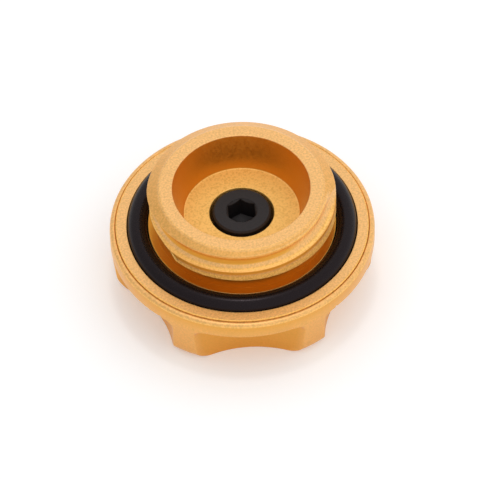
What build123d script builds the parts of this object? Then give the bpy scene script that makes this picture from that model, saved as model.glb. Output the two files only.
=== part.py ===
from build123d import *
import math
import os

# Oil filler cap, standing on the flat face of its grip with the thread upwards.
# Millimetres. The axis is +Z, the grip's face lies on z = 0, and -Y is the front.

# Threaded spigot of the plug
thread_diameter = 42.0
thread_pitch = 5.0
thread_length = 6.85
thread_groove_radius = 2.0
thread_groove_height = 4.43         # groove's centre over the relief, at the front
lead_chamfer = 2.85                 # radial width
lead_chamfer_slope = 31.4           # degrees from the top face
relief_depth = 1.8                  # undercut between thread and seal
relief_height = 4.83
run_out_radius = 1.55               # second groove, which thins the thread's last ridge
run_out_drop = 3.45                 # how far it lies under the thread groove

# Where the grooves start and end, in degrees round the axis from the front, right-hand side positive
groove_top_end = 67.0
groove_bottom_end = -200.0
run_out_end = -67.5

# Seal and the disc that carries it
o_ring_section = 4.6
o_ring_clearance = 0.05
seal_groove_depth = 2.7
seal_groove_room = 0.18             # free space outside the ring
collar_height = 0.55                # ring's inner seat, above the disc's face
disc_thickness = 3.3
disc_rim_width = 2.42               # from the seal's groove to the disc's edge
edge_break = 0.2

# Pocket and top of the plug
top_land_width = 2.8
pocket_depth = 8.4
pocket_taper = 15.8                 # degrees

# Centre screw, a socket head cap screw
shank_diameter = 8.0
head_diameter = 13.0
head_height = 8.0
head_proud = 0.6                    # head above the pocket's floor
head_chamfer = 0.4
hex_across_flats = 6.0
hex_depth = 5.0
hex_mouth_room = 0.08               # countersink outside the hexagon's corners
hex_turn = 2.0                      # degrees
head_side_clearance = 0.7
shank_clearance = 0.5
shank_thread_clearance = 0.05
shank_tip_room = 0.8
shank_tip_chamfer = 1.0

# Grip
grip_height = 11.4                  # lobes, from the face to the flange
flange_web = 0.8                    # metal between the scallops and the recess
flange_rim_width = 1.25             # rim outside the disc
rim_round = 0.8
disc_clearance = 0.15
disc_proud = 0.25                   # disc's face above the rim
spigot_diameter = 22.0              # locating boss under the disc
spigot_length = 3.4
spigot_clearance = 0.1
spigot_end_room = 0.3
face_wall = 1.2                     # metal between the screw's hole and the face
face_round = 3.3                    # foot of the lobes
lobe_count = 6
lobe_taper = 1.15                   # lobes' radius lost from the flange to the face
scallop_depth = 6.4                 # below the flange's edge
scallop_radius = 24.0
scallop_cove = 2.5                  # under the flange

# Radii that follow
thread_r = thread_diameter / 2
relief_r = thread_r - relief_depth
top_r = thread_r - lead_chamfer
mouth_r = top_r - top_land_width
pocket_floor_r = mouth_r - pocket_depth * math.tan(math.radians(pocket_taper))
seal_groove_r = thread_r + o_ring_section + seal_groove_room
disc_r = seal_groove_r + disc_rim_width
recess_r = disc_r + disc_clearance
flange_r = recess_r + flange_rim_width
counterbore_r = head_diameter / 2 + head_side_clearance

# Heights that follow
recess_floor_z = grip_height + flange_web
disc_face_z = recess_floor_z + disc_thickness
rim_z = disc_face_z - disc_proud
collar_z = disc_face_z + collar_height
relief_top_z = collar_z + relief_height
plug_top_z = relief_top_z + thread_length
pocket_floor_z = plug_top_z - pocket_depth
head_top_z = pocket_floor_z + head_proud
head_seat_z = head_top_z - head_height
spigot_end_z = recess_floor_z - spigot_length
shank_tip_z = face_wall + shank_tip_room


def turned(points):
    """A solid of revolution about Z from the (radius, height) points of its half section."""
    section = Plane.XZ * make_face(Polyline(*points, close=True))
    return revolve(section, Axis.Z)


def rings(solid, radius, height):
    """The circular edges of a turned solid at one radius and height."""
    def at_place(edge):
        box = edge.bounding_box()
        return abs(box.max.X - radius) < 1e-4 and abs(edge.center(CenterOf.BOUNDING_BOX).Z - height) < 1e-4
    return solid.edges().filter_by(GeomType.CIRCLE).filter_by(at_place)


def helical_groove(groove_r, height_at_front, low_angle, high_angle, low_exit, high_exit):
    """A round cutter's path along the thread's helix, leaving along the tangent where an exit is given.

    Angles are in degrees from the front, positive to the right, and the helix rises to the right.
    """
    rise = thread_pitch * (high_angle - low_angle) / 360
    low_z = height_at_front + thread_pitch * low_angle / 360
    path = Pos(0, 0, low_z) * Rot(0, 0, low_angle - 90) * Helix(thread_pitch, rise, thread_r)
    section = Plane(origin=path @ 0, z_dir=path % 0) * Circle(groove_r)
    groove = sweep(section, path=path, is_frenet=True)
    exit_length = 3 * math.sqrt(2 * thread_r * groove_r)
    if low_exit:
        groove += extrude(Plane(origin=path @ 0, z_dir=-(path % 0)) * Circle(groove_r), exit_length)
    if high_exit:
        groove += extrude(Plane(origin=path @ 1, z_dir=path % 1) * Circle(groove_r), exit_length)
    return groove


def make_threaded_plug():
    """Turned insert: spigot, disc with the seal's groove, relief, thread, tapered pocket and counterbore."""
    plug = turned([
        (0, spigot_end_z),
        (spigot_diameter / 2, spigot_end_z),
        (spigot_diameter / 2, recess_floor_z),
        (disc_r, recess_floor_z),
        (disc_r, disc_face_z),
        (seal_groove_r, disc_face_z),
        (seal_groove_r, disc_face_z - seal_groove_depth),
        (thread_r, disc_face_z - seal_groove_depth),
        (thread_r, collar_z),
        (relief_r, collar_z),
        (relief_r, relief_top_z),
        (thread_r, relief_top_z),
        (thread_r, plug_top_z - lead_chamfer * math.tan(math.radians(lead_chamfer_slope))),
        (top_r, plug_top_z),
        (0, plug_top_z),
    ])
    plug = chamfer(rings(plug, disc_r, disc_face_z), edge_break)
    plug -= turned([
        (0, head_seat_z),
        (counterbore_r, head_seat_z),
        (counterbore_r, pocket_floor_z),
        (pocket_floor_r, pocket_floor_z),
        (mouth_r, plug_top_z),
        (0, plug_top_z),
    ])
    plug = chamfer(rings(plug, mouth_r, plug_top_z), edge_break)
    shank_hole_r = shank_diameter / 2 + shank_clearance
    plug -= Pos(0, 0, spigot_end_z) * Cylinder(
        shank_hole_r, head_seat_z - spigot_end_z, align=(Align.CENTER, Align.CENTER, Align.MIN))
    groove_z = relief_top_z + thread_groove_height
    plug -= helical_groove(thread_groove_radius, groove_z, groove_bottom_end, groove_top_end, True, True)
    plug -= helical_groove(run_out_radius, groove_z - run_out_drop, groove_bottom_end, run_out_end, False, True)
    return plug


def make_grip_cap():
    """Turned knob, tapered to its face, with a recess for the plug and scallops milled up to the flange."""
    face_r = flange_r - lobe_taper
    grip = turned([
        (0, 0),
        (face_r, 0),
        (flange_r, grip_height),
        (flange_r, rim_z),
        (0, rim_z),
    ])
    grip = fillet(rings(grip, face_r, 0), face_round)
    grip = fillet(rings(grip, flange_r, rim_z), rim_round)
    spigot_pocket_r = spigot_diameter / 2 + spigot_clearance
    spigot_pocket_z = spigot_end_z - spigot_end_room
    screw_hole_r = shank_diameter / 2 + shank_thread_clearance
    grip -= turned([
        (0, face_wall),
        (screw_hole_r, face_wall),
        (screw_hole_r, spigot_pocket_z),
        (spigot_pocket_r, spigot_pocket_z),
        (spigot_pocket_r, recess_floor_z),
        (recess_r, recess_floor_z),
        (recess_r, rim_z),
        (0, rim_z),
    ])
    grip = chamfer(rings(grip, recess_r, rim_z), edge_break)
    cutter = Cylinder(
        scallop_radius, grip_height + face_round, align=(Align.CENTER, Align.CENTER, Align.MIN))
    cutter = fillet(cutter.edges().group_by(Axis.Z)[-1], scallop_cove)
    cutter_distance = flange_r - scallop_depth + scallop_radius
    placed_cutter = Pos(cutter_distance, 0, -face_round) * cutter
    cutters = [Rot(0, 0, 360 / lobe_count * index - 90) * placed_cutter for index in range(lobe_count)]
    return grip - cutters


def make_o_ring():
    """Round-section rubber ring, seated round the collar and on the floor of its groove."""
    section_r = o_ring_section / 2
    ring_z = disc_face_z - seal_groove_depth + section_r + o_ring_clearance
    return Pos(0, 0, ring_z) * Torus(thread_r + section_r + o_ring_clearance, section_r)


def make_centre_screw():
    """Socket head cap screw: chamfered head, hexagon socket with a countersunk mouth, plain shank."""
    head_r = head_diameter / 2
    shank_r = shank_diameter / 2
    screw = turned([
        (0, shank_tip_z),
        (shank_r - shank_tip_chamfer, shank_tip_z),
        (shank_r, shank_tip_z + shank_tip_chamfer),
        (shank_r, head_seat_z),
        (head_r, head_seat_z),
        (head_r, head_top_z - head_chamfer),
        (head_r - head_chamfer, head_top_z),
        (0, head_top_z),
    ])
    hexagon = RegularPolygon(hex_across_flats / 2, 6, major_radius=False, rotation=hex_turn + 30)
    screw -= Pos(0, 0, head_top_z - hex_depth) * extrude(hexagon, hex_depth)
    mouth = hex_across_flats / math.sqrt(3) + hex_mouth_room
    flat_r = hex_across_flats / 2
    screw -= turned([
        (0, head_top_z),
        (mouth, head_top_z),
        (flat_r, head_top_z - (mouth - flat_r)),
        (0, head_top_z - (mouth - flat_r)),
    ])
    screw -= turned([
        (0, head_top_z - hex_depth),
        (flat_r, head_top_z - hex_depth),
        (0, head_top_z - hex_depth - flat_r / 2),
    ])
    return screw


pieces = {
    "grip_cap": make_grip_cap(),
    "threaded_plug": make_threaded_plug(),
    "o_ring": make_o_ring(),
    "centre_screw": make_centre_screw(),
}

os.makedirs("parts", exist_ok=True)
for name, piece in pieces.items():
    export_step(piece, f"parts/{name}.step")
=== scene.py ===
import math

import bpy
import numpy as np
from mathutils import Matrix, Vector


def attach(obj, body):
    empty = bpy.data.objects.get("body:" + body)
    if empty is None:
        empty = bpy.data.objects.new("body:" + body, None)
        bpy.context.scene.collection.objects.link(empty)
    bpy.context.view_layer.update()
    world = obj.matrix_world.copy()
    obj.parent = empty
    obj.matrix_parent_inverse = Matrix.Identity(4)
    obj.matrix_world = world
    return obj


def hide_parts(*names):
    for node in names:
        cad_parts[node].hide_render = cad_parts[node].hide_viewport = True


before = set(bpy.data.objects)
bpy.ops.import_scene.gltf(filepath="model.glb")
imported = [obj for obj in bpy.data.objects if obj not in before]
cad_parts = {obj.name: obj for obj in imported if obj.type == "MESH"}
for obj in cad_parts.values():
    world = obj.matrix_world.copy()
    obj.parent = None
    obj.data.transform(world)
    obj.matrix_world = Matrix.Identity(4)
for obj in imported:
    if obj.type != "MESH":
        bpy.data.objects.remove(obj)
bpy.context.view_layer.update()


# Grip: the knob that the hand turns, with a round flange and six lobes between scallops.
# Turned from aluminium bar, milled six times, fine bead blasted and anodised gold.
# It carries the plug's disc in the recess of its flange and stands on its flat face.

# Sizes in millimetres, with heights from the face
FLANGE_RADIUS = 29.6
RIM_HEIGHT = 15.25
RIM_ROUND = 0.8
LIP_ROUND = 0.15                    # lower edge of the flange, over the scallops
LIP_FADE = 0.5                      # overhang at which that round is whole
LIP_RISE = 0.5                      # where nothing overhangs, its rows move up by this
LOBES = 6
LOBE_HEIGHT = 11.4
LOBE_FOOT_RADIUS = 28.45
LOBE_FOOT_ROUND = 3.3
SCALLOP_RADIUS = 24.0
SCALLOP_CENTRE = 47.2               # cutter's centre, from the axis
SCALLOP_COVE = 2.5
SCALLOP_EDGE_ROUND = 0.35
CREASE_ROUND = 0.3
RECESS_RADIUS = 28.35
RECESS_FLOOR = 12.2
RECESS_CHAMFER = 0.2
SPIGOT_POCKET_RADIUS = 11.1
SPIGOT_POCKET_FLOOR = 8.5
SCREW_HOLE_RADIUS = 4.05
SCREW_HOLE_FLOOR = 1.2
INNER_ROUND = 0.1
NEAR = 0.1                          # reach of a test for points on a face
FAR_AWAY = 99.0                     # a cutter's wall where the cutter isn't met
MILLIMETRE = 0.001

# Rows and columns of the mesh
ARC_POINTS = 6
CORNER_ROWS = ARC_POINTS + 2
GUARD_REACH = 0.12
GUARD_SHARE = 0.2
FACE_SHARES = (0.04, 0.2, 0.45, 0.7, 0.88, 0.96, 0.99)
FOOT_ROWS = 22
FOOT_SWEEP = 1.4                    # radians of the foot's round
WALL_ROWS = 10
COVE_ROWS = 14
COVE_START = 0.1                    # radians into the cove
SCALLOP_COLUMNS = 56
LOBE_COLUMNS = 32
LEDGE_ROWS = 6
LEDGE_START = 0.12
LIP_ROWS = 5

# Painted shading of the finish, from painted highlights at -1 on open edges through 0 to painted shade at 1
# in hollows
LOBE_PAINTED_SHADE = 0.21
SCALLOP_PAINTED_SHADE = 0.11              # painted shade added where the cutter went in
SCALLOP_TONE_DEPTH = 1.5            # depth of cut at which it is whole
FLANGE_SIDE_PAINTED_SHADE = 0.2
RIM_TONE_START = 0.15               # below the rim's round
RIM_PAINTED_SHADING = (                     # painted highlight and shade lines, by degrees over the rim's round
    (-5, 0.3), (0, 0.35), (18, -0.5), (36, 0.05), (54, 0.05), (72, 0.03), (90, 0.05), (100, 0.06))


def smooth_least(a, b, reach):
    """The smaller of two distances, blended by a parabola where they differ by less than reach."""
    share = np.clip(0.5 + 0.5 * (b - a) / reach, 0, 1)
    return b * (1 - share) + a * share - reach * share * (1 - share)


def tone_along(place, stops):
    """Painted shading at each place, on straight lines between stops of (place, painted shading)."""
    stop_place, stop_shelter = np.array(stops).T
    return np.interp(place, stop_place, stop_shelter)


def rounded_outline(corners, closed=False):
    """Half section through (radius, height, round) corners, as rows of (radius, height).

    Each corner is cut back along both sides by its round over the tangent of half its angle, and bridged
    by an arc. A guard point just outside each end of the arc keeps the flats beside it flat. The first and
    last corners of an open outline only give its directions there, and get no rows.
    """
    corners = np.array(corners, float)
    point, radius = corners[:, :2], corners[:, 2:3]
    back = np.roll(point, 1, 0) - point
    ahead = np.roll(point, -1, 0) - point
    room = np.minimum(np.linalg.norm(back, axis=1), np.linalg.norm(ahead, axis=1))[:, None]
    back /= np.linalg.norm(back, axis=1)[:, None]
    ahead /= np.linalg.norm(ahead, axis=1)[:, None]
    half = np.arccos(np.clip((back * ahead).sum(1), -1, 1))[:, None] / 2
    cut = radius / np.tan(half)
    middle = back + ahead
    centre = point + middle / np.linalg.norm(middle, axis=1)[:, None] * radius / np.sin(half)
    turn = math.pi - 2 * half
    share = np.linspace(0, 1, ARC_POINTS)
    first = point + back * cut
    last = point + ahead * cut
    arc = (np.sin((1 - share) * turn)[:, :, None] * (first - centre)[:, None]
           + np.sin(share * turn)[:, :, None] * (last - centre)[:, None]) / np.sin(turn)[:, :, None]
    guard = np.minimum(GUARD_REACH, GUARD_SHARE * (room - cut))
    rows = np.concatenate([
        (first + back * guard)[:, None], centre[:, None] + arc, (last + ahead * guard)[:, None]], 1)
    rows = rows if closed else rows[1:-1]
    return rows.reshape(-1, 2)


def turned_skin(name, radius, height, angle, painted_shading=None, poles=None):
    """A closed surface from rows of points round the Z axis, sizes in millimetres.

    Point (row, column) lies at radius and height, turned by angle. Columns always close on themselves. With
    the heights of two poles on the axis the first and last rows are drawn together there, and without them
    the rows close on themselves too. Painted shading gives at each point a painted shade of the finish over
    0 or a painted highlight under 0, and becomes an attribute of the mesh.
    """
    x = radius * np.cos(angle)
    y = radius * np.sin(angle)
    points = np.stack([x, y, height + 0 * x], -1)
    rows, columns = points.shape[:2]
    index = np.arange(rows * columns).reshape(rows, columns)
    below = index[:-1] if poles else index
    above = index[1:] if poles else np.roll(index, -1, 0)
    quads = np.stack([below, np.roll(below, -1, 1), np.roll(above, -1, 1), above], -1).reshape(-1, 4)
    vertices = points.reshape(-1, 3)
    faces = quads.tolist()
    if poles:
        low = np.full(columns, len(vertices))
        vertices = np.concatenate([vertices, [(0, 0, pole) for pole in poles]])
        faces += np.stack([low, np.roll(index[0], -1), index[0]], -1).tolist()
        faces += np.stack([low + 1, index[-1], np.roll(index[-1], -1)], -1).tolist()
    mesh = bpy.data.meshes.new(name)
    mesh.from_pydata((vertices * MILLIMETRE).tolist(), [], faces)
    mesh.polygons.foreach_set("use_smooth", np.ones(len(mesh.polygons), bool))
    if painted_shading is not None:
        values = np.zeros(len(vertices))
        values[:painted_shading.size] = painted_shading.ravel()
        mesh.attributes.new("painted_shading", "FLOAT", "POINT").data.foreach_set("value", values)
    mesh.update()
    piece = bpy.data.objects.new(name, mesh)
    bpy.context.scene.collection.objects.link(piece)
    return piece


def lobe_radius(z):
    """Radius of the turned blank at height z: a straight taper standing on the round of the foot."""
    lean = math.atan2(FLANGE_RADIUS - LOBE_FOOT_RADIUS, LOBE_HEIGHT)
    cut = LOBE_FOOT_ROUND / math.tan((math.pi / 2 + lean) / 2)
    taper = LOBE_FOOT_RADIUS + z * math.tan(lean)
    foot = LOBE_FOOT_RADIUS - cut + np.sqrt(
        np.clip(LOBE_FOOT_ROUND ** 2 - (LOBE_FOOT_ROUND - z) ** 2, 0, None))
    return np.where(z < cut * math.cos(lean), foot, np.minimum(taper, FLANGE_RADIUS))


def scallop_cutter_radius(z):
    """Radius of the milling cutter at height z: straight, with a quarter round at its upper end."""
    into_cove = np.clip(z - (LOBE_HEIGHT - SCALLOP_COVE), 0, SCALLOP_COVE)
    return SCALLOP_RADIUS - SCALLOP_COVE + np.sqrt(SCALLOP_COVE ** 2 - into_cove ** 2)


def scallop_wall(turn, z):
    """Distance from the axis to the cutter's near side, at a turn from the scallop's middle.

    It is the near root where a ray from the axis meets the cutter's circle, or far away where it misses.
    The lower edge is broken by a small round.
    """
    inside = scallop_cutter_radius(z) ** 2 - (SCALLOP_CENTRE * np.sin(turn)) ** 2
    wall = SCALLOP_CENTRE * np.cos(turn) - np.sqrt(np.clip(inside, 0, None))
    under = np.clip(SCALLOP_EDGE_ROUND - z, 0, None)
    wall = wall - SCALLOP_EDGE_ROUND + np.sqrt(SCALLOP_EDGE_ROUND ** 2 - under ** 2)
    return np.where(inside > 0, wall, FAR_AWAY)


def grip_surface():
    """Rows from the middle of the face, up the lobes and scallops, over the flange and down into the recess.

    A sector of 60 degrees has its columns drawn together at the two creases, which move with the height:
    there the cutter's circle crosses the blank, by the cosine rule. Between them the side is the smaller of
    the blank's radius and the cutter's wall.
    """
    cove_foot = LOBE_HEIGHT - SCALLOP_COVE
    level = np.concatenate([
        LOBE_FOOT_ROUND * (1 - np.cos(np.linspace(0, FOOT_SWEEP, FOOT_ROWS))),
        np.linspace(LOBE_FOOT_ROUND, cove_foot, WALL_ROWS),
        cove_foot + SCALLOP_COVE * np.sin(np.linspace(COVE_START, math.pi / 2, COVE_ROWS)),
    ])[:, None]
    blank = lobe_radius(level)
    crease = np.arccos((blank ** 2 + SCALLOP_CENTRE ** 2 - scallop_cutter_radius(level) ** 2)
                       / (2 * blank * SCALLOP_CENTRE))
    over_scallop = np.sin(np.linspace(-1, 1, SCALLOP_COLUMNS, endpoint=False) * math.pi / 2)
    over_lobe = np.sin(np.linspace(-1, 1, LOBE_COLUMNS, endpoint=False) * math.pi / 2)
    half_sector = math.pi / LOBES
    turn = np.concatenate([crease * over_scallop, half_sector + (half_sector - crease) * over_lobe], 1)
    from_scallop = (turn + half_sector) % (2 * half_sector) - half_sector
    side = smooth_least(blank, scallop_wall(from_scallop, level), CREASE_ROUND)

    overhang = np.clip((FLANGE_RADIUS - side[-1]) / LIP_FADE, 0, 1)
    step = np.linspace(LEDGE_START, 1, LEDGE_ROWS)[:, None]
    ledge_r = side[-1] + step * (FLANGE_RADIUS - LIP_ROUND * overhang - side[-1])
    ledge_z = LOBE_HEIGHT + step * LIP_RISE * (1 - overhang)
    arc = np.linspace(1 / LIP_ROWS, 1, LIP_ROWS)[:, None] * math.pi / 2
    lip_r = FLANGE_RADIUS - LIP_ROUND * overhang * (1 - np.sin(arc))
    lip_z = LOBE_HEIGHT + LIP_RISE * (1 - overhang) + LIP_ROUND * (1 - np.cos(arc))
    upper = rounded_outline([
        (0, 0, 0),
        (FLANGE_RADIUS, LOBE_HEIGHT, INNER_ROUND),
        (FLANGE_RADIUS, RIM_HEIGHT, RIM_ROUND),
        (RECESS_RADIUS + RECESS_CHAMFER, RIM_HEIGHT, INNER_ROUND),
        (RECESS_RADIUS, RIM_HEIGHT - RECESS_CHAMFER, INNER_ROUND),
        (RECESS_RADIUS, RECESS_FLOOR, INNER_ROUND),
        (SPIGOT_POCKET_RADIUS, RECESS_FLOOR, INNER_ROUND),
        (SPIGOT_POCKET_RADIUS, SPIGOT_POCKET_FLOOR, 2 * INNER_ROUND),
        (SCREW_HOLE_RADIUS, SPIGOT_POCKET_FLOOR, INNER_ROUND),
        (SCREW_HOLE_RADIUS, SCREW_HOLE_FLOOR, INNER_ROUND),
        (0, SCREW_HOLE_FLOOR, 0),
    ])[CORNER_ROWS:]
    face = np.array(FACE_SHARES)[:, None]
    width = np.ones_like(turn[:1])
    radius = np.concatenate([face * side[:1], side, ledge_r, lip_r, upper[:, :1] * width])
    height = np.concatenate([0 * face * width, level * width, ledge_z, lip_z, upper[:, 1:] * width])
    rows_above = len(radius) - len(face) - len(level)
    turn = np.concatenate([np.repeat(turn[:1], len(face), 0), turn, np.repeat(turn[-1:], rows_above, 0)])
    sector = np.arange(LOBES)[:, None, None] * 2 * half_sector - math.pi / 2
    angle = np.concatenate(list(sector + turn), 1)

    # Painted shade on the lobes, deeper in the scallops, and on the flange's side; painted highlight and
    # shade lines over the rim's round
    painted_shading = np.zeros_like(radius)
    scooped = np.clip((blank - side) / SCALLOP_TONE_DEPTH, 0, 1)
    painted_shading[len(face):len(face) + len(level)] = LOBE_PAINTED_SHADE + SCALLOP_PAINTED_SHADE * scooped
    round_foot = RIM_HEIGHT - RIM_ROUND
    on_side = (height > LOBE_HEIGHT) & (height < round_foot) & (radius > FLANGE_RADIUS - NEAR)
    painted_shading[on_side] = FLANGE_SIDE_PAINTED_SHADE
    over_rim = np.degrees(np.arctan2(height - RIM_HEIGHT + RIM_ROUND, radius - FLANGE_RADIUS + RIM_ROUND))
    on_rim = (radius > RECESS_RADIUS - NEAR) & (height > round_foot - RIM_TONE_START)
    painted_shading = np.where(on_rim, tone_along(over_rim, RIM_PAINTED_SHADING), painted_shading)
    return np.tile(radius, LOBES), np.tile(height, LOBES), angle, np.tile(painted_shading, LOBES)


grip = turned_skin("grip", *grip_surface(), poles=(0.0, SCREW_HOLE_FLOOR))

# Blasted finish, with noise scales to a metre
GRAIN_SCALE = 2200
CLOUD_SCALE = 260
NOISE_DETAIL = 2
SPECK_RANGE = (0.36, 0.64)          # of the grain's noise, spread to 0 and 1
GRAIN_SHARE = 0.75                  # of the mottle, and the rest is cloud
CALM_RANGE = (0.16, 0.24)           # painted shade over which the mottle calms down
CALM_MOTTLE = 0.35                  # what is left of it
EVEN_MOTTLE = 0.5
PAINTED_HIGHLIGHT_LIFT = 0.75                    # painted highlight: brightening where the painted shading is under 0
COAT_LOSS = -2.8                    # by painted shading either way
PAINTED_SHADE_POLISH = -0.1             # roughness, by painted shading
DIMPLE_DEPTH = 0.00004              # metres

# Gold anodising
GOLD = (1.0, 0.515, 0.11)
GOLD_DEEP = (0.69, 0.345, 0.045)
# Colours of the painted shade and of the painted highlight on the gold
GOLD_PAINTED_SHADE = (0.645, 0.27, 0.033)
GOLD_PAINTED_HIGHLIGHT = (1.0, 0.65, 0.2)
GOLD_METALLIC = 0.85


def shader_node(tree, kind, inputs, **settings):
    """A new node with its settings. Each of its inputs gets a plain value or the output that feeds it."""
    node = tree.nodes.new("ShaderNode" + kind)
    for setting, value in settings.items():
        setattr(node, setting, value)
    for socket, value in inputs.items():
        if isinstance(value, bpy.types.NodeSocket):
            tree.links.new(value, node.inputs[socket])
        else:
            node.inputs[socket].default_value = value
    return node


def math_node(tree, operation, *values, clamp=False):
    """Output of a Math node on one, two or three values."""
    inputs = dict(enumerate(values))
    return shader_node(tree, "Math", inputs, operation=operation, use_clamp=clamp).outputs["Value"]


def range_node(tree, value, source, target):
    """Output of a Map Range node: the value carried from the source range to the target range, clamped."""
    inputs = {
        "Value": value,
        "From Min": source[0],
        "From Max": source[1],
        "To Min": target[0],
        "To Max": target[1],
    }
    return shader_node(tree, "MapRange", inputs).outputs["Result"]


def mix_node(tree, kind, factor, first, second):
    """Output of a Mix node: the first value where the factor is 0 and the second where it is 1."""
    inputs = {"Factor": factor, "A": first, "B": second}
    return shader_node(tree, "Mix", inputs, data_type=kind).outputs["Result"]


def noise_node(tree, place, scale):
    """Output of a noise at a place."""
    inputs = {"Vector": place, "Scale": scale, "Detail": NOISE_DETAIL}
    return shader_node(tree, "TexNoise", inputs).outputs["Fac"]


def blasted_finish():
    """Node group: fine dimples of bead blasting, with a faint unevenness of the dye over each part.

    The mottle of grain and cloud mixes the deep colour with the colour. Painted shading over 0 is painted
    shade: it calms the mottle, brings in the painted shade colour and bares the polished metal. Under 0 it
    is a painted highlight that lifts the mix to the painted highlight colour. Both ways it takes off the
    coat.
    """
    tree = bpy.data.node_groups.new("blasted_finish", "ShaderNodeTree")
    for label in ("Colour", "Deep Colour", "Painted Shade Colour", "Painted Highlight Colour"):
        tree.interface.new_socket(label, in_out="INPUT", socket_type="NodeSocketColor")
    for label in ("Painted Shading", "Roughness", "Roughness Spread", "Metallic"):
        tree.interface.new_socket(label, in_out="INPUT", socket_type="NodeSocketFloat")
    tree.interface.new_socket("Colour", in_out="OUTPUT", socket_type="NodeSocketColor")
    for label in ("Roughness", "Coat", "Metallic", "Height"):
        tree.interface.new_socket(label, in_out="OUTPUT", socket_type="NodeSocketFloat")
    given = tree.nodes.new("NodeGroupInput").outputs
    put = tree.nodes.new("NodeGroupOutput").inputs
    painted_shading = given["Painted Shading"]

    place = tree.nodes.new("ShaderNodeTexCoord").outputs["Object"]
    grain = noise_node(tree, place, GRAIN_SCALE)
    speck = range_node(tree, grain, SPECK_RANGE, (0.0, 1.0))
    cloud = math_node(tree, "MULTIPLY", noise_node(tree, place, CLOUD_SCALE), 1 - GRAIN_SHARE)
    blend = math_node(tree, "MULTIPLY_ADD", speck, GRAIN_SHARE, cloud)
    calm = range_node(tree, painted_shading, CALM_RANGE, (1.0, CALM_MOTTLE))
    mottle = mix_node(tree, "FLOAT", calm, EVEN_MOTTLE, blend)

    # Painted highlight under 0 lifts the colour, and painted shade over 0 mixes in the painted shade colour
    painted_highlight = math_node(tree, "MULTIPLY", painted_shading, -1.0, clamp=True)
    highlight_colour = mix_node(tree, "RGBA", painted_highlight, given["Colour"], given["Painted Highlight Colour"])
    lift = math_node(tree, "MULTIPLY_ADD", painted_highlight, PAINTED_HIGHLIGHT_LIFT, mottle, clamp=True)
    tint = mix_node(tree, "RGBA", lift, given["Deep Colour"], highlight_colour)
    colour = mix_node(tree, "RGBA", painted_shading, tint, given["Painted Shade Colour"])

    far_from_even = math_node(tree, "ABSOLUTE", painted_shading)
    coat = math_node(tree, "MULTIPLY_ADD", far_from_even, COAT_LOSS, 1.0, clamp=True)
    metallic = math_node(tree, "ADD", painted_shading, given["Metallic"], clamp=True)
    spread = math_node(tree, "MULTIPLY_ADD", blend, given["Roughness Spread"], given["Roughness"])
    roughness = math_node(tree, "MULTIPLY_ADD", painted_shading, PAINTED_SHADE_POLISH, spread)
    results = {"Colour": colour, "Roughness": roughness, "Coat": coat, "Metallic": metallic, "Height": grain}
    for label, output in results.items():
        tree.links.new(output, put[label])
    return tree


blasting = blasted_finish()


def blasted_material(name, colour, deep, roughness, spread, metallic, dimple):
    """A material with the blasted finish on its colour, roughness and bump, with its shader and its finish.

    It has no painted shading of its own, so painted shade and painted highlight get the same two colours as
    the rest.
    """
    material = bpy.data.materials.new(name)
    material.use_nodes = True
    tree = material.node_tree
    shader = tree.nodes["Principled BSDF"]
    shader.inputs["Metallic"].default_value = metallic
    finish = shader_node(tree, "Group", {
        "Colour": (*colour, 1),
        "Deep Colour": (*deep, 1),
        "Painted Shade Colour": (*deep, 1),
        "Painted Highlight Colour": (*colour, 1),
        "Roughness": roughness,
        "Roughness Spread": spread,
    }, node_tree=blasting)
    bump = shader_node(tree, "Bump", {
        "Strength": dimple, "Distance": DIMPLE_DEPTH, "Height": finish.outputs["Height"]})
    tree.links.new(finish.outputs["Colour"], shader.inputs["Base Color"])
    tree.links.new(finish.outputs["Roughness"], shader.inputs["Roughness"])
    tree.links.new(bump.outputs["Normal"], shader.inputs["Normal"])
    return material, shader, finish


gold, gold_shader, gold_finish = blasted_material(
    "gold_anodised", GOLD, GOLD_DEEP, roughness=0.36, spread=0.16, metallic=GOLD_METALLIC, dimple=0.6)
gold_shader.inputs["Coat Roughness"].default_value = 0.4
gold_shader.inputs["Coat IOR"].default_value = 2.0
gold_finish.inputs["Painted Shade Colour"].default_value = (*GOLD_PAINTED_SHADE, 1)
gold_finish.inputs["Painted Highlight Colour"].default_value = (*GOLD_PAINTED_HIGHLIGHT, 1)
gold_finish.inputs["Metallic"].default_value = GOLD_METALLIC
# The gold reads each piece's painted shading: painted shade in hollows, painted highlights on edges
gold_painted_shading = shader_node(gold.node_tree, "Attribute", {}, attribute_name="painted_shading")
gold.node_tree.links.new(gold_painted_shading.outputs["Fac"], gold_finish.inputs["Painted Shading"])
gold.node_tree.links.new(gold_finish.outputs["Coat"], gold_shader.inputs["Coat Weight"])
gold.node_tree.links.new(gold_finish.outputs["Metallic"], gold_shader.inputs["Metallic"])
grip.data.materials.append(gold)
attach(grip, "root")
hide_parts("grip_cap")


# Threaded plug: the insert that screws into the filler neck, with a disc, a seal groove, an undercut
# neck, one coarse round thread and a tapered pocket. One turned piece of aluminium, blasted and anodised
# like the grip, and clamped to it by the centre screw.

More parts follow.
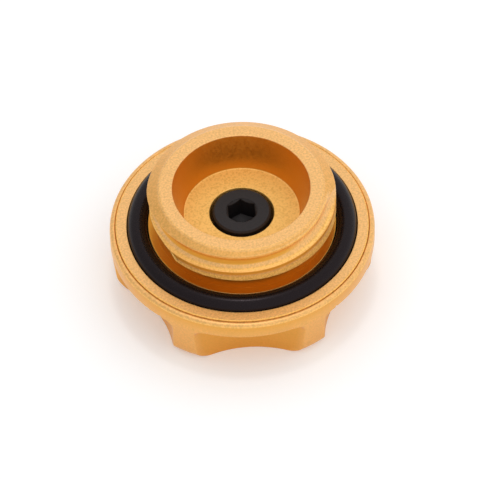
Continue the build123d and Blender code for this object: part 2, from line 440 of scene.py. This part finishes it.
# Sizes in millimetres, angles in degrees from the front, with the right-hand side positive
THREAD_RADIUS = 21.0
THREAD_PITCH = 5.0
THREAD_FOOT = 20.88                 # height that the grooves are measured from
LAND_FOOT = THREAD_FOOT - 0.3       # the thread's lower edge
PLUG_TOP = 27.73
TOP_RADIUS = 18.15
CHAMFER_SLOPE = 31.4
CHAMFER_FOOT = PLUG_TOP - (THREAD_RADIUS - TOP_RADIUS) * math.tan(math.radians(CHAMFER_SLOPE))
GROOVE_RADIUS = 2.0
GROOVE_HEIGHT = 4.43
GROOVE_ENDS = (-200.0, 67.0)
GROOVE_SEAM = 113                   # the groove's two ends are told apart here
RUN_OUT_RADIUS = 1.55               # second groove, which thins the last ridge
RUN_OUT_DROP = 3.45
RUN_OUT_END = -67.5
EXIT_TURN = 60                      # longest way out along the tangent
THREAD_EDGE = 0.14
SOFT_EDGE = 5                       # the groove's upper edge is softer by this
SOFT_EDGE_TURN = 15                 # and by one more for each such turn to the right
FOOT_EDGE = 0.05
CHAMFER_EDGE = 0.08
SPIGOT_RADIUS = 11.0
SPIGOT_END = 8.8
DISC_RADIUS = 28.29
DISC_FACE = 15.5
SEAL_GROOVE_RADIUS = 25.78
SEAL_GROOVE_FLOOR = 12.8
COLLAR_HEIGHT = 16.05
NECK_RADIUS = 19.2
MOUTH_RADIUS = 15.35
POCKET_FLOOR = 19.33
POCKET_FLOOR_RADIUS = 12.97
COUNTERBORE_RADIUS = 7.2
HEAD_SEAT = 11.93
SHANK_HOLE_RADIUS = 4.5

# Rows and columns of the mesh
PLUG_COLUMNS = 480
GROOVE_ROWS = 20
LAND_ROWS = 12
FOOT_SHARES = (0, 0.08, 0.3, 0.6, 1)
ROW_GAP = 0.04
LEAST_CHORD = 0.2
TOP_MARGIN = 0.35

# Painted shading of the finish: painted shade over 0, painted highlight under 0
GROOVE_PAINTED_SHADING = (                  # painted highlights at its edges, painted shade in its upper half; by height from the groove's axis, in its radii
    (-0.96, -0.7), (-0.84, -0.04), (-0.62, -0.04), (-0.42, 0.95), (0.0, 0.85), (0.14, 0.25), (0.28, -0.5))
GROOVE_TONE_DEPTH = 0.5             # depth of cut at which it is whole
GROOVE_FADE_TURN = 45               # its painted shade fades over this turn to the right
GROOVE_FADE_LEAST = 0.1
# Painted highlight on the land
LAND_PAINTED_HIGHLIGHT = -0.3
EDGE_SHADE_DROP = 0.15              # band of painted shade under the groove's lower edge
EDGE_SHADE_WIDTH = 1.4
LEAST_CUT = 0.3                     # groove too shallow for either
# Painted shade on the chamfer, and a painted highlight along the top's outer edge
CHAMFER_PAINTED_SHADE = 0.17
TOP_EDGE_LIFT = 0.4
TOP_EDGE_WIDTH = 0.3
NECK_PAINTED_SHADE = 0.86                 # painted shade in the neck under the thread, at the collar
NECK_PAINTED_SHADE_LOSS = 0.46            # up to the thread
HAIR = 0.01                         # margin at the neck's ends
POCKET_PAINTED_SHADING = (                  # painted highlight on the counterbore and floor, painted shade up the wall; by radius, from the counterbore over the floor and up the wall
    (7.2, -0.45), (7.3, -0.47), (12.88, -0.475), (12.95, 0.69), (13.08, 0.682), (15.3, 0.655))
POCKET_TONE_LOW = 19.0              # height at which it ends in the counterbore
# Painted highlight along the disc's outer edge
DISC_EDGE_PAINTED_HIGHLIGHT = -0.4
DISC_EDGE_START = 28.0              # radius
DISC_EDGE_LOW = 15.2                # height


def groove_axis(turn, low_end, high_end, height):
    """Radius and height of a groove's round cutter at a turn from the front, in degrees.

    Between its ends it follows the helix, and past them it leaves along the tangent: the radius grows as
    one over the cosine of the angle past the end, and the height goes on by the helix's slope.
    """
    past = np.radians(np.clip(turn - high_end, 0, EXIT_TURN) + np.clip(low_end - turn, 0, EXIT_TURN))
    along = np.clip(turn, low_end, high_end)
    slope = THREAD_PITCH / (2 * math.pi)
    axis_z = THREAD_FOOT + height + THREAD_PITCH * along / 360 + slope * np.tan(past) * np.sign(turn - along)
    return THREAD_RADIUS / np.cos(past), axis_z


def groove_wall(z, axis_r, axis_z, cutter):
    """Distance from the plug's axis to the groove's floor at height z, or far away outside the groove.

    The floor is the near side of a circle of the cutter's radius round the groove's axis.
    """
    inside = cutter ** 2 - (z - axis_z) ** 2
    return np.where(inside > 0, axis_r - np.sqrt(np.clip(inside, 0, None)), FAR_AWAY)


def half_chord(axis_r, cutter):
    """Half the width of a groove on the land, by the right triangle in the cutter's circle."""
    return np.sqrt(np.clip(cutter ** 2 - (axis_r - THREAD_RADIUS) ** 2, LEAST_CHORD ** 2, None))


def drawn_rows(count):
    """Shares of a stretch, from over 0 up to 1, drawn together at both its ends by a cosine."""
    return 0.5 - 0.5 * np.cos(np.linspace(0, 1, count + 1)[1:] * math.pi)[:, None]


def thread_surface(turn):
    """Rows from the neck's ceiling up the thread to the top face, over columns at the given turns.

    The levels of each column are drawn to the edges of the two grooves: on the land they lie at the chord's
    half width from the groove's axis, and on the chamfer where a line meets a circle. The radius is the
    smallest of the blank's and the two grooves' walls.
    """
    wound = np.where(turn > GROOVE_SEAM, turn - 360, turn)
    axis_r, axis_z = groove_axis(wound, *GROOVE_ENDS, GROOVE_HEIGHT)
    second_r, second_z = groove_axis(wound, GROOVE_ENDS[0], RUN_OUT_END, GROOVE_HEIGHT - RUN_OUT_DROP)
    chord = half_chord(axis_r, GROOVE_RADIUS)
    fall = (THREAD_RADIUS - TOP_RADIUS) / (PLUG_TOP - CHAMFER_FOOT)
    gap = axis_r - THREAD_RADIUS + (axis_z - CHAMFER_FOOT) * fall
    under = np.clip(GROOVE_RADIUS ** 2 * (1 + fall ** 2) - gap ** 2, 0, None)
    on_chamfer = axis_z + (np.sqrt(under) - gap * fall) / (1 + fall ** 2)
    upper = np.where(axis_z + chord > CHAMFER_FOOT, on_chamfer, axis_z + chord)
    upper = np.clip(upper, None, PLUG_TOP - TOP_MARGIN)
    lower = np.maximum(np.minimum(axis_z - chord, upper - 5 * ROW_GAP), LAND_FOOT + 3 * ROW_GAP)
    second_edge = second_z + half_chord(second_r, RUN_OUT_RADIUS)
    low_land = np.clip(second_edge, LAND_FOOT + 2 * ROW_GAP, lower - ROW_GAP)
    high_land = np.maximum(CHAMFER_FOOT, upper + ROW_GAP)
    foot = LAND_FOOT + FOOT_EDGE * np.array(FOOT_SHARES)[:, None] + 0 * turn
    level = np.concatenate([
        foot,
        foot[-1] + drawn_rows(LAND_ROWS) * (low_land - foot[-1]),
        low_land + drawn_rows(LAND_ROWS) * (lower - low_land),
        lower + drawn_rows(GROOVE_ROWS) * (upper - lower),
        upper + drawn_rows(LAND_ROWS) * (high_land - upper),
        high_land + drawn_rows(LAND_ROWS) * (PLUG_TOP - high_land),
    ])

    broken = np.clip(FOOT_EDGE - (level - LAND_FOOT), 0, None)
    blank = THREAD_RADIUS - FOOT_EDGE + np.sqrt(FOOT_EDGE ** 2 - broken ** 2)
    blank = smooth_least(blank, TOP_RADIUS + (PLUG_TOP - level) * fall, CHAMFER_EDGE)
    softer = SOFT_EDGE + np.clip(turn, 0, EXIT_TURN) / SOFT_EDGE_TURN
    reach = np.where(level > axis_z, THREAD_EDGE * softer, THREAD_EDGE)
    cut = smooth_least(blank, groove_wall(level, axis_r, axis_z, GROOVE_RADIUS), reach)
    cut = smooth_least(cut, groove_wall(level, second_r, second_z, RUN_OUT_RADIUS), THREAD_EDGE)

    # Painted shading: painted shade and highlights in the groove, a painted highlight on the land with a
    # band of painted shade under the groove, painted shade on the chamfer with a painted highlight along the
    # top's edge
    in_groove = np.clip((blank - cut) / GROOVE_TONE_DEPTH, 0, 1)
    groove_tone = tone_along((level - axis_z) / GROOVE_RADIUS, GROOVE_PAINTED_SHADING)
    fade = np.clip(1 - wound / GROOVE_FADE_TURN, GROOVE_FADE_LEAST, 1)
    groove_tone = np.where(groove_tone > 0, groove_tone * fade, groove_tone)
    still_cut = np.clip(GROOVE_RADIUS + THREAD_RADIUS - axis_r - LEAST_CUT, 0, 1)
    edge_shade = np.clip(1 - np.abs(lower - EDGE_SHADE_DROP - level) / EDGE_SHADE_WIDTH, 0, 1)
    land_tone = LAND_PAINTED_HIGHLIGHT * still_cut + edge_shade * still_cut ** 2
    at_top = np.clip(1 - (PLUG_TOP - level) / TOP_EDGE_WIDTH, 0, 1)
    chamfer_tone = CHAMFER_PAINTED_SHADE - TOP_EDGE_LIFT * at_top
    outer_tone = np.where(level < CHAMFER_FOOT - FOOT_EDGE, land_tone, chamfer_tone)
    return cut, level, in_groove * groove_tone + (1 - in_groove) * outer_tone


def plug_surface():
    """A closed half section carried round the axis: lower body, thread, then pocket and bore.

    The rounded outline gives the rows below and above the thread, and the thread's own rows lie between.
    """
    turn = np.linspace(-180, 180, PLUG_COLUMNS, endpoint=False)
    cut, level, thread_painted_shading = thread_surface(turn)
    lower_corners = [
        (SHANK_HOLE_RADIUS, SPIGOT_END, 0.2),
        (SPIGOT_RADIUS, SPIGOT_END, 0.3),
        (SPIGOT_RADIUS, RECESS_FLOOR, 0.15),
        (DISC_RADIUS, RECESS_FLOOR, 0.15),
        (DISC_RADIUS, DISC_FACE, 0.18),
        (SEAL_GROOVE_RADIUS, DISC_FACE, 0.12),
        (SEAL_GROOVE_RADIUS, SEAL_GROOVE_FLOOR, 0.3),
        (THREAD_RADIUS, SEAL_GROOVE_FLOOR, 0.3),
        (THREAD_RADIUS, COLLAR_HEIGHT, 0.15),
        (NECK_RADIUS, COLLAR_HEIGHT, 0.02),
        (NECK_RADIUS, LAND_FOOT, 0.02),
    ]
    upper_corners = [
        (TOP_RADIUS, PLUG_TOP, 0.1),
        (MOUTH_RADIUS, PLUG_TOP, 0.2),
        (POCKET_FLOOR_RADIUS, POCKET_FLOOR, 0.35),
        (COUNTERBORE_RADIUS, POCKET_FLOOR, 0.2),
        (COUNTERBORE_RADIUS, HEAD_SEAT, 0.2),
        (SHANK_HOLE_RADIUS, HEAD_SEAT, 0.2),
    ]
    outline = rounded_outline(lower_corners + upper_corners, closed=True)
    thread_start = len(lower_corners) * CORNER_ROWS
    below = outline[:thread_start - 1]
    above = outline[thread_start + CORNER_ROWS - 1:]
    width = np.ones(len(turn))
    radius = np.concatenate([
        below[:, :1] * width, cut[:1] - NEAR, cut, TOP_RADIUS - NEAR + 0 * cut[:1], above[:, :1] * width])
    height = np.concatenate([
        below[:, 1:] * width, level[:1], level, PLUG_TOP + 0 * level[:1], above[:, 1:] * width])

    # Painted shade in the neck under the thread, lighter towards the thread
    in_neck = (height > COLLAR_HEIGHT - HAIR) & (height < LAND_FOOT + HAIR)
    in_neck &= (radius > NECK_RADIUS - NEAR) & (radius < THREAD_RADIUS - NEAR)
    up_neck = np.clip((height - COLLAR_HEIGHT) / (LAND_FOOT - COLLAR_HEIGHT), 0, 1)
    painted_shading = in_neck * (NECK_PAINTED_SHADE - NECK_PAINTED_SHADE_LOSS * up_neck)
    # Painted highlight in the counterbore and on the pocket's floor, painted shade up its wall
    in_pocket = (radius < MOUTH_RADIUS - NEAR / 2) & (height > POCKET_TONE_LOW)
    painted_shading = np.where(in_pocket, tone_along(radius, POCKET_PAINTED_SHADING), painted_shading)
    # Painted highlight along the disc's outer edge
    painted_shading[(radius > DISC_EDGE_START) & (height > DISC_EDGE_LOW)] = DISC_EDGE_PAINTED_HIGHLIGHT
    painted_shading[len(below) + 1:len(below) + 1 + len(cut)] += thread_painted_shading
    return radius, height, np.radians(turn - 90)[None], painted_shading


plug = turned_skin("plug", *plug_surface())
plug.data.materials.append(gold)
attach(plug, "root")
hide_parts("threaded_plug")


# Sealing ring: an O-ring of black nitrile rubber, moulded in two halves, with a smooth oily skin.
# It is stretched round the plug's collar and lies in the groove of the disc.

RING_RADIUS = 23.35
RING_SECTION = 2.3
RING_HEIGHT = 15.15
RING_FLASH = 0.015
RING_FLASH_WIDTH = 0.04             # in radii of the section
RING_ROWS = 96
RING_COLUMNS = 360
RUBBER = (0.007, 0.005, 0.0055)
RUBBER_DEEP = (0.005, 0.0035, 0.004)
RUBBER_GLOSS = (1.0, 0.8, 0.86, 1)


def ring_surface():
    """A circle carried round the axis, raised to a faint flash line at the moulds' meeting plane.

    The flash is a bell curve of the sine of the angle round the section.
    """
    round_section = np.linspace(0, 2 * math.pi, RING_ROWS, endpoint=False)[:, None]
    flash = RING_FLASH * (np.exp(-(np.sin(round_section) / RING_FLASH_WIDTH) ** 2) - 1)
    section = RING_SECTION + flash
    radius = RING_RADIUS + section * np.cos(round_section)
    height = RING_HEIGHT + section * np.sin(round_section)
    angle = np.linspace(0, 2 * math.pi, RING_COLUMNS, endpoint=False)[None]
    return radius + 0 * angle, height + 0 * angle, angle


ring = turned_skin("sealing_ring", *ring_surface())
rubber, rubber_shader = blasted_material(
    "black_rubber", RUBBER, RUBBER_DEEP, roughness=0.21, spread=0.1, metallic=0.0, dimple=0.03)[:2]
rubber_shader.inputs["Specular IOR Level"].default_value = 0.19
rubber_shader.inputs["Specular Tint"].default_value = RUBBER_GLOSS
ring.data.materials.append(rubber)
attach(ring, "root")
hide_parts("o_ring")


# Centre screw: an M8 socket head cap screw of black oxide steel, cold headed, with a rolled thread.
# It clamps the plug to the grip through the floor of the pocket.

SCREW_TIP = 2.0
SCREW_TOP = 19.93
TIP_CHAMFER = 1.0
TIP_CHAMFER_HEIGHT = 0.9
SHANK_RADIUS = 4.0
SHANK_PITCH = 1.25
SHANK_THREAD_DEPTH = 0.6
SHANK_THREAD_START = 1.0            # above the tip
SHANK_THREAD_END = 0.9              # under the head
SHANK_THREAD_FADE = 0.8
SHANK_CREST = 1.4                   # power of the wave, for crests wider than the roots
HEAD_RADIUS = 6.5
HEAD_CHAMFER = 0.4
SOCKET_FLAT_RADIUS = 3.0
SOCKET_MOUTH_RADIUS = 3.544
SOCKET_DEPTH = 5.0
SOCKET_TURN = 2.0                   # degrees
DRILL_POINT = 0.5                   # depth under the socket's floor, in its radii
SCREW_COLUMNS = 240
SHANK_ROWS = 90
SUNK_SHARES = (0.12, 0.5, 0.92)
SOCKET_SHARES = (0, 0.015, 0.1, 0.5, 0.9, 0.99, 1)
DRILL_SHARES = (0.98, 0.9, 0.6, 0.2)
OXIDE = (0.03, 0.025, 0.0255)
OXIDE_DEEP = (0.02, 0.0165, 0.017)


def screw_surface():
    """Rows from the tip up the thread, round the head and down into the hexagon socket.

    The thread is a rounded wave of the height less the turn. A socket wall at an angle lies at the flat's
    distance over the cosine of the angle from the middle of that flat.
    """
    angle = np.linspace(0, 2 * math.pi, SCREW_COLUMNS, endpoint=False)[None]
    level = np.linspace(SCREW_TIP + SHANK_THREAD_START, HEAD_SEAT - SHANK_THREAD_END, SHANK_ROWS)[:, None]
    wave = 0.5 + 0.5 * np.cos(2 * math.pi * level / SHANK_PITCH - angle)
    from_tip = level - SCREW_TIP - TIP_CHAMFER_HEIGHT
    from_head = HEAD_SEAT - SHANK_THREAD_FADE - level
    fade = np.clip(np.minimum(from_tip, from_head) / SHANK_THREAD_FADE, 0, 1)
    shank = SHANK_RADIUS - SHANK_THREAD_DEPTH * fade * wave ** SHANK_CREST
    tip_corners = [
        (SHANK_RADIUS - TIP_CHAMFER, SCREW_TIP, 0.15),
        (SHANK_RADIUS, SCREW_TIP + TIP_CHAMFER_HEIGHT, 0.1),
    ]
    head_corners = [
        (SHANK_RADIUS, HEAD_SEAT, 0.3),
        (HEAD_RADIUS, HEAD_SEAT, 0.25),
        (HEAD_RADIUS, SCREW_TOP - HEAD_CHAMFER, 0.15),
        (HEAD_RADIUS - HEAD_CHAMFER, SCREW_TOP, 0.12),
        (SOCKET_MOUTH_RADIUS, SCREW_TOP, 0.04),
    ]
    socket_corner = (SOCKET_FLAT_RADIUS, SCREW_TOP - (SOCKET_MOUTH_RADIUS - SOCKET_FLAT_RADIUS), 0)
    outline = rounded_outline([(0, SCREW_TIP, 0), *tip_corners, *head_corners, socket_corner])
    tip_rows = len(tip_corners) * CORNER_ROWS
    tip, head = outline[:tip_rows], outline[tip_rows:]
    facet = (angle - math.radians(SOCKET_TURN - 90)) % (math.pi / 3) - math.pi / 6
    hexagon = SOCKET_FLAT_RADIUS / np.cos(facet)
    mouth = SCREW_TOP - (SOCKET_MOUTH_RADIUS - hexagon)
    floor = SCREW_TOP - SOCKET_DEPTH
    sunk = np.array(SUNK_SHARES)[:, None] * (SOCKET_MOUTH_RADIUS - hexagon)
    down = np.array(SOCKET_SHARES)[:, None]
    drill = np.array(DRILL_SHARES)[:, None]
    width = np.ones_like(angle)
    radius = np.concatenate([
        tip[:, :1] * width,
        shank,
        head[:, :1] * width,
        SOCKET_MOUTH_RADIUS - sunk,
        hexagon + 0 * down,
        SOCKET_FLAT_RADIUS * drill * width,
    ])
    height = np.concatenate([
        tip[:, 1:] * width,
        level * width,
        head[:, 1:] * width,
        SCREW_TOP - sunk,
        mouth + down * (floor - mouth),
        (floor - DRILL_POINT * SOCKET_FLAT_RADIUS * (1 - drill)) * width,
    ])
    return radius, height, angle


screw = turned_skin(
    "centre_screw_m8", *screw_surface(),
    poles=(SCREW_TIP, SCREW_TOP - SOCKET_DEPTH - DRILL_POINT * SOCKET_FLAT_RADIUS))
black_oxide, oxide_shader = blasted_material(
    "black_oxide", OXIDE, OXIDE_DEEP, roughness=0.42, spread=0.16, metallic=0.4, dimple=0.25)[:2]
oxide_shader.inputs["Specular IOR Level"].default_value = 0.35
screw.data.materials.append(black_oxide)
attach(screw, "root")
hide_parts("centre_screw")


# Studio: a white paper sweep under an even white sky, a little weaker on the left, with one soft lamp above.
# Seen directly or in the metal the paper is white, and it keeps the cap's shadow. It is clear from below, so
# that the grip's face can be looked at.

PAPER_REACH = 3                     # metres, each way
PAPER_HEIGHT = -0.00005             # just under the grip's face
PAPER_WHITE = (0.9, 0.9, 0.9, 1)
PAPER_LIFT = (0.17, 0.176, 0.182, 1)
SKY_SIDES = (-1.0, 0.0)             # from the far left to the middle
SKY_STRENGTH = (0.66, 1.0)
LAMP_PLACE = Vector((0.0, 0.1, 0.8))
LAMP_SIZE = 0.1
LAMP_POWER = 0.5
CAP_MIDDLE = Vector((0, 0, 0.015))

paper_corners = [
    (-PAPER_REACH, -PAPER_REACH, PAPER_HEIGHT),
    (PAPER_REACH, -PAPER_REACH, PAPER_HEIGHT),
    (PAPER_REACH, PAPER_REACH, PAPER_HEIGHT),
    (-PAPER_REACH, PAPER_REACH, PAPER_HEIGHT),
]
paper_mesh = bpy.data.meshes.new("paper")
paper_mesh.from_pydata(paper_corners, [], [(0, 1, 2, 3)])
paper = bpy.data.objects.new("paper", paper_mesh)
bpy.context.scene.collection.objects.link(paper)
paper_white = bpy.data.materials.new("paper_white")
paper_white.use_nodes = True
paper_tree = paper_white.node_tree
paper_shader = paper_tree.nodes["Principled BSDF"]
paper_shader.inputs["Base Color"].default_value = PAPER_WHITE
paper_shader.inputs["Roughness"].default_value = 0.9
paper_shader.inputs["Emission Color"].default_value = PAPER_LIFT
seen = paper_tree.nodes.new("ShaderNodeLightPath").outputs
seen_at_all = math_node(paper_tree, "MAXIMUM", seen["Is Camera Ray"], seen["Is Glossy Ray"])
seen_through = math_node(paper_tree, "MAXIMUM", seen_at_all, seen["Is Transmission Ray"])
paper_tree.links.new(seen_through, paper_shader.inputs["Emission Strength"])
from_below = paper_tree.nodes.new("ShaderNodeNewGeometry")
clear = paper_tree.nodes.new("ShaderNodeBsdfTransparent")
one_sided = shader_node(paper_tree, "MixShader", {
    0: from_below.outputs["Backfacing"], 1: paper_shader.outputs["BSDF"], 2: clear.outputs["BSDF"]})
paper_tree.links.new(one_sided.outputs["Shader"], paper_tree.nodes["Material Output"].inputs["Surface"])
paper.data.materials.append(paper_white)

sky = bpy.data.worlds.new("studio")
bpy.context.scene.world = sky
sky.use_nodes = True
sky_shader = sky.node_tree.nodes["Background"]
sky_shader.inputs["Color"].default_value = (1, 1, 1, 1)
look = sky.node_tree.nodes.new("ShaderNodeTexCoord")
sideways = shader_node(sky.node_tree, "SeparateXYZ", {"Vector": look.outputs["Generated"]})
falloff = range_node(sky.node_tree, sideways.outputs["X"], SKY_SIDES, SKY_STRENGTH)
sky.node_tree.links.new(falloff, sky_shader.inputs["Strength"])

lamp = bpy.data.lights.new("overhead_box", "AREA")
lamp.size = LAMP_SIZE
lamp.energy = LAMP_POWER
overhead = bpy.data.objects.new("overhead_box", lamp)
overhead.location = LAMP_PLACE
overhead.rotation_euler = (CAP_MIDDLE - LAMP_PLACE).to_track_quat("-Z", "Y").to_euler()
bpy.context.scene.collection.objects.link(overhead)


# Camera: the photograph's view, from the front and 49.5 degrees up, turned a little round the cap,
# with a long lens. The scale is 4.48 pixels to a millimetre at the rim in a 480 pixel picture.

PICTURE = 480
FOCAL = 5000.0                      # pixels
SCALE = 4.48
SENSOR = 36.0                       # millimetres
ELEVATION = math.radians(49.5)
ROLL = math.radians(-1.59)
SWING = math.radians(-2.1)
AIM_HEIGHT = 15.05                  # point on the cap's axis that lies on the aim pixel
AIM_ACROSS = 242.1
AIM_DOWN = 224.6

forward = Vector((0, math.cos(ELEVATION), -math.sin(ELEVATION)))
level_right = Vector((1, 0, 0))
level_up = level_right.cross(forward)
right = math.cos(ROLL) * level_right + math.sin(ROLL) * level_up
up = math.cos(ROLL) * level_up - math.sin(ROLL) * level_right
distance = FOCAL / SCALE * MILLIMETRE
stand = Matrix((right, up, -forward)).transposed().to_4x4()
stand.translation = (
    -forward * distance
    - right * (AIM_ACROSS - PICTURE / 2) / FOCAL * distance
    + up * (AIM_DOWN - PICTURE / 2) / FOCAL * distance)
lens = bpy.data.cameras.new("photo_view")
lens.sensor_width = SENSOR
lens.lens = FOCAL * SENSOR / PICTURE
camera = bpy.data.objects.new("photo_view", lens)
aim = Matrix.Translation((0, 0, AIM_HEIGHT * MILLIMETRE))
camera.matrix_world = aim @ Matrix.Rotation(SWING, 4, "Z") @ stand
bpy.context.scene.collection.objects.link(camera)
bpy.context.scene.camera = camera
bpy.context.scene.view_settings.view_transform = "Standard"
